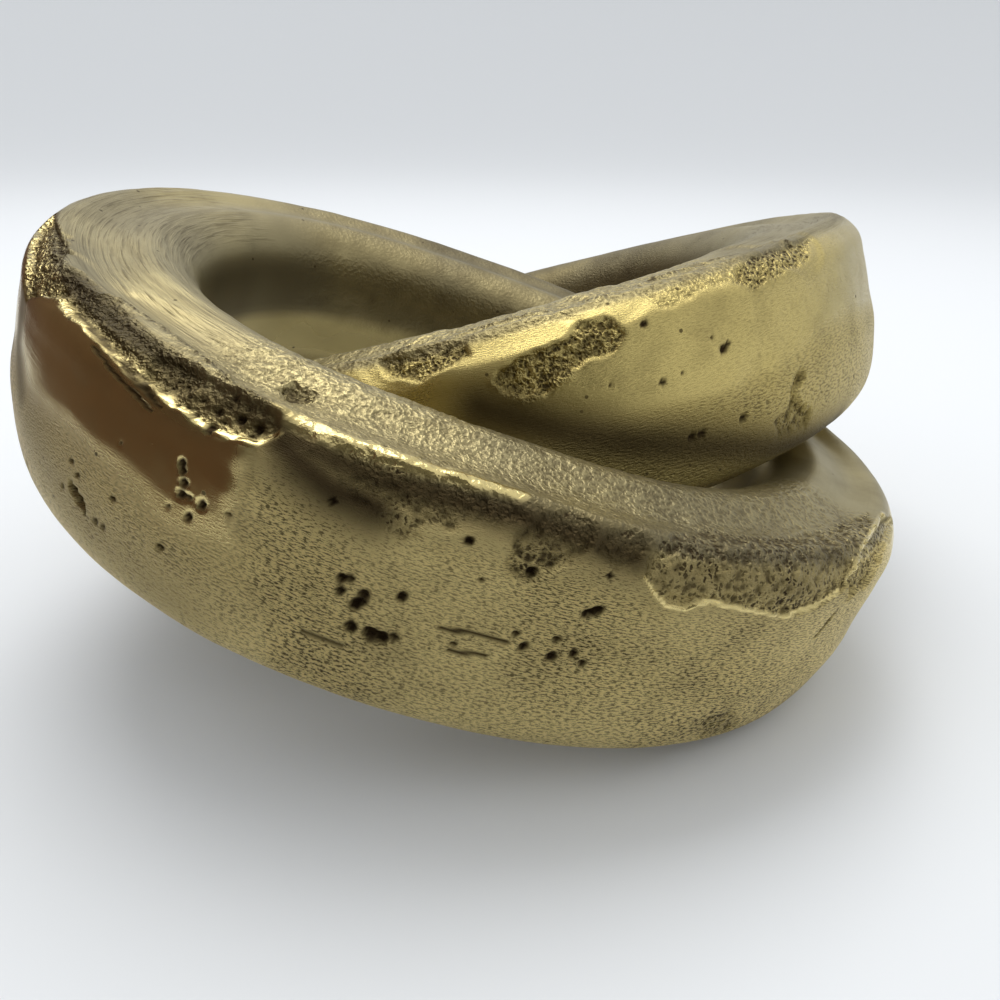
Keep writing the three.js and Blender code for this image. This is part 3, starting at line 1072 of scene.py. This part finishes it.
# %% Dark cards
def standing_card(name, colour, feet, height):
    """A folding card that stands on the paper. Only the metal sees it: it throws no shade on the paper."""
    folds = len(feet)
    mesh = bpy.data.meshes.new(name)
    corners = [(*foot, up) for up in (0, height) for foot in feet]
    mesh.from_pydata(corners, [], [(i, i + 1, folds + i + 1, folds + i) for i in range(folds - 1)])
    mesh.materials.append(matt(name, colour))
    card = put_in_scene(name, mesh)
    card.visible_camera = False
    card.visible_shadow = False
    card.visible_diffuse = False
    print(name, "folds:", folds)


shared_foot = (-0.0925, -0.1675)
grey_feet = [(0.10, -0.22), shared_foot]
brown_feet = [shared_foot, (-0.42, 0.16), (-0.42, 0.55)]
standing_card("grey_card", "67645B", grey_feet, height=0.2)
standing_card("brown_card", "573F33", brown_feet, height=0.42)

# %% [markdown]
# ## The room and its lamp
# The room is a pale sky without any window to mirror. It is brightest above, to the back and to the
# right, which shades the paper a little on the left.

# %% Room
world = bpy.data.worlds.new("pale_room")
world.use_nodes = True
bpy.context.scene.world = world
tree = world.node_tree
tree.nodes.clear()
way = add(tree, "ShaderNodeTexCoord").outputs["Generated"]
brightest = (0.35, 0.3, 0.88)
towards = add(tree, "ShaderNodeVectorMath", {"operation": "DOT_PRODUCT", 1: brightest}, {0: way})
strength = add(tree, "ShaderNodeMapRange",
               {"From Min": -0.4, "From Max": 0.9, "To Min": 0.7, "To Max": 1.03},
               {"Value": towards.outputs["Value"]})
sky = add(tree, "ShaderNodeBackground", {"Color": linear("F4F6F8")},
          {"Strength": strength.outputs["Result"]})
add(tree, "ShaderNodeOutputWorld", {}, {"Surface": sky.outputs["Background"]})
print("room nodes:", len(tree.nodes))


# %% [markdown]
# One large lamp high behind the rings puts the glow on their tops. It is over half a metre wide, so the
# shadows that it throws on the paper are soft.

# %% Lamp
def soft_lamp(name, place, size, power):
    """A square lamp that faces the rings; its power in watts spreads over its whole face."""
    lamp = put_in_scene(name, bpy.data.lights.new(name, "AREA"))
    lamp.data.size = size
    lamp.data.energy = power
    lamp.location = place
    east, north, up = place
    from_above = math.atan2(math.hypot(east, north), up)
    lamp.rotation_euler = (from_above, 0, math.atan2(north, east) + math.pi / 2)
    print(name, "tilt, degrees:", round(math.degrees(from_above), 1))


soft_lamp("over_lamp", place=(-0.1, 0.3, 1.0), size=0.7, power=5.5)
